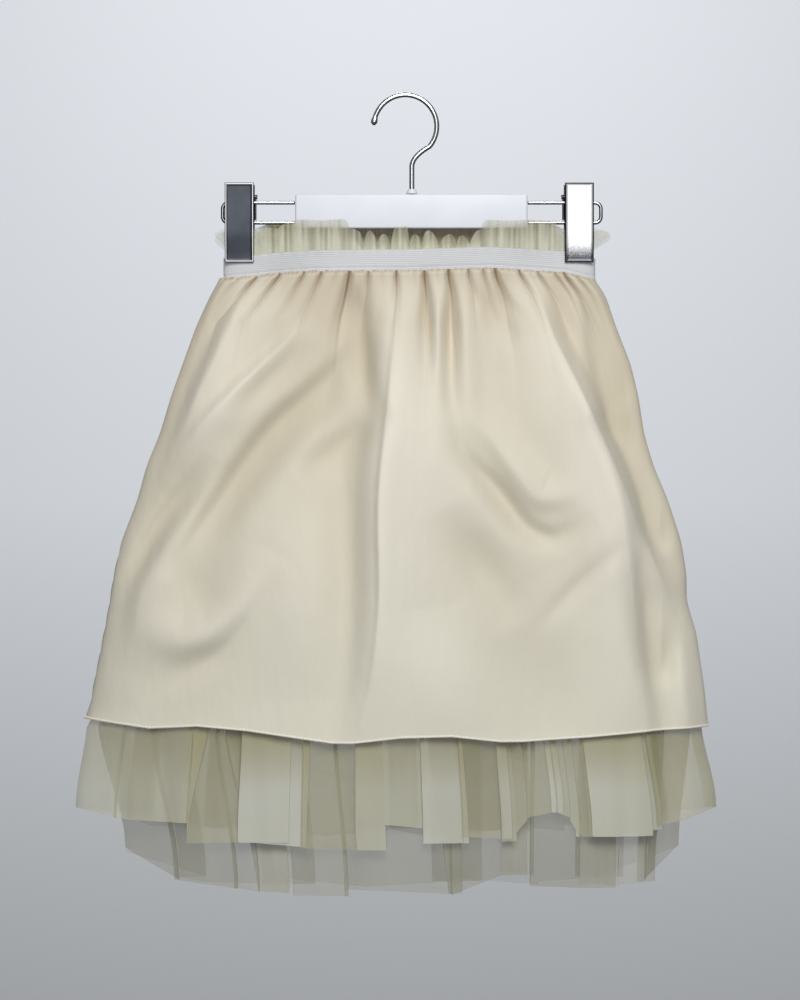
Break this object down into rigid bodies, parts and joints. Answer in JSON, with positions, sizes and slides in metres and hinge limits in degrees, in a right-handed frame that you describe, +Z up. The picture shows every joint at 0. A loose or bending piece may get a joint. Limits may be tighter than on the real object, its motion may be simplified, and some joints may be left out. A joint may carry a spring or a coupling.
{
  "type": "chiffon skirt on clip hanger",
  "caption": "Gathered child's skirt in cream chiffon over two tulle tiers, with an elastic waistband, clipped to a small white hanger with a chrome hook.",
  "frame": {"origin": "inside top of the hook's arc, where it rests on its peg or rail", "axes": "+Z up along the hanging garment, +X to the viewer's right across the waistband, +Y away from the viewer, towards the wall"},
  "size_m": [0.4808, 0.078, 0.5988],
  "materials": {
    "cream_chiffon": "soft satin",
    "tulle": "sheer net",
    "elastic": "ribbed elastic",
    "white_bar": "white gloss paint",
    "chrome": "polished",
    "dark_steel": "dark"
  },
  "bodies": {
    "root": {"skirt_front": "cream_chiffon", "skirt_back": "cream_chiffon", "tulle_short_front": "tulle", "tulle_short_back": "tulle", "tulle_long_front": "tulle", "tulle_long_back": "tulle", "ruffle_front": "tulle", "ruffle_back": "tulle", "waistband": "elastic", "hanger_bar": "white_bar", "hook": "chrome", "hook_ferrule": "chrome", "wire_left": "chrome", "wire_right": "chrome", "clip_left_front": "chrome", "clip_left_back": "chrome", "clip_left_bracket": "dark_steel", "clip_right_front": "chrome", "clip_right_back": "chrome", "clip_right_bracket": "dark_steel"}
  },
  "joints": []
}
